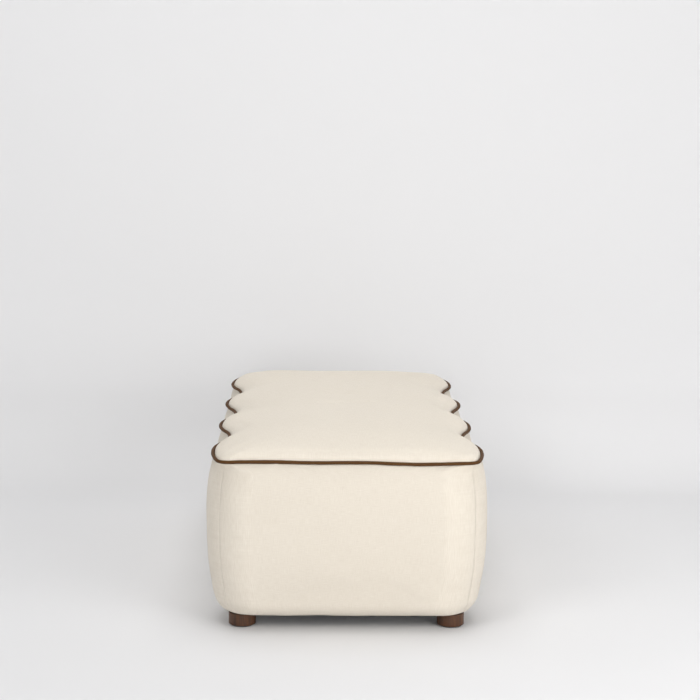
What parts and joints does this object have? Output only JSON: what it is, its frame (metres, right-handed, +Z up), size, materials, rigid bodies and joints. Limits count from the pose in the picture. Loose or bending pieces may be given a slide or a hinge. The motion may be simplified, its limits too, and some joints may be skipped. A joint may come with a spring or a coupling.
{
  "type": "bench ottoman",
  "caption": "Low upholstered bench ottoman with scalloped long sides, a crowned seat, contrast piping round the top edge and round wooden feet.",
  "frame": {"origin": "on the floor under the middle of the ottoman", "axes": "+Z up, Y along the length with the front end at -Y, X across the width"},
  "size_m": [0.6214, 1.2214, 0.4232],
  "materials": {
    "cover_fabric": "cream linen-look canvas, matt",
    "piping_fabric": "dark brown piping, matt with a slight sheen",
    "cotton_cord": "twisted cotton filler cord",
    "walnut": "dark walnut stain, satin",
    "frame_timber": "plain birch plywood and pine, unfinished",
    "liner_board": "thin bending plywood, unfinished",
    "soft_foam": "open-cell polyurethane foam",
    "firm_foam": "firm polyurethane foam",
    "webbing": "woven elastic webbing",
    "hessian": "loose jute weave",
    "dust_cloth": "black non-woven cloth",
    "felt": "pressed wool felt",
    "zinc_steel": "zinc-plated steel"
  },
  "bodies": {
    "root": {"base_cross_rail_1": "frame_timber", "base_cross_rail_2": "frame_timber", "base_end_rail_back": "frame_timber", "base_end_rail_front": "frame_timber", "base_side_rail_left": "frame_timber", "base_side_rail_right": "frame_timber", "cover_back": "cover_fabric", "cover_front": "cover_fabric", "cover_left": "cover_fabric", "cover_right": "cover_fabric", "cover_top": "cover_fabric", "dust_cover": "dust_cloth", "felt_glides": "felt", "foot_back_left": "walnut", "foot_back_right": "walnut", "foot_front_left": "walnut", "foot_front_right": "walnut", "frame_screws": "zinc_steel", "hanger_bolts": "zinc_steel", "hessian": "hessian", "liner_back": "liner_board", "liner_front": "liner_board", "liner_left": "liner_board", "liner_right": "liner_board", "pad_back": "soft_foam", "pad_front": "soft_foam", "pad_left": "soft_foam", "pad_right": "soft_foam", "piping_cord": "cotton_cord", "piping_cover": "piping_fabric", "post_back": "frame_timber", "post_front": "frame_timber", "post_left_1": "frame_timber", "post_left_2": "frame_timber", "post_left_3": "frame_timber", "post_left_4": "frame_timber", "post_right_1": "frame_timber", "post_right_2": "frame_timber", "post_right_3": "frame_timber", "post_right_4": "frame_timber", "seat_foam_crown": "soft_foam", "seat_foam_slab": "firm_foam", "staples": "zinc_steel", "stretcher_1": "frame_timber", "stretcher_2": "frame_timber", "tee_nuts": "zinc_steel", "top_end_rail_back": "frame_timber", "top_end_rail_front": "frame_timber", "top_side_rail_left": "frame_timber", "top_side_rail_right": "frame_timber", "webbing_cross_1": "webbing", "webbing_cross_2": "webbing", "webbing_cross_3": "webbing", "webbing_cross_4": "webbing", "webbing_cross_5": "webbing", "webbing_cross_6": "webbing", "webbing_long_1": "webbing", "webbing_long_2": "webbing"}
  },
  "joints": []
}
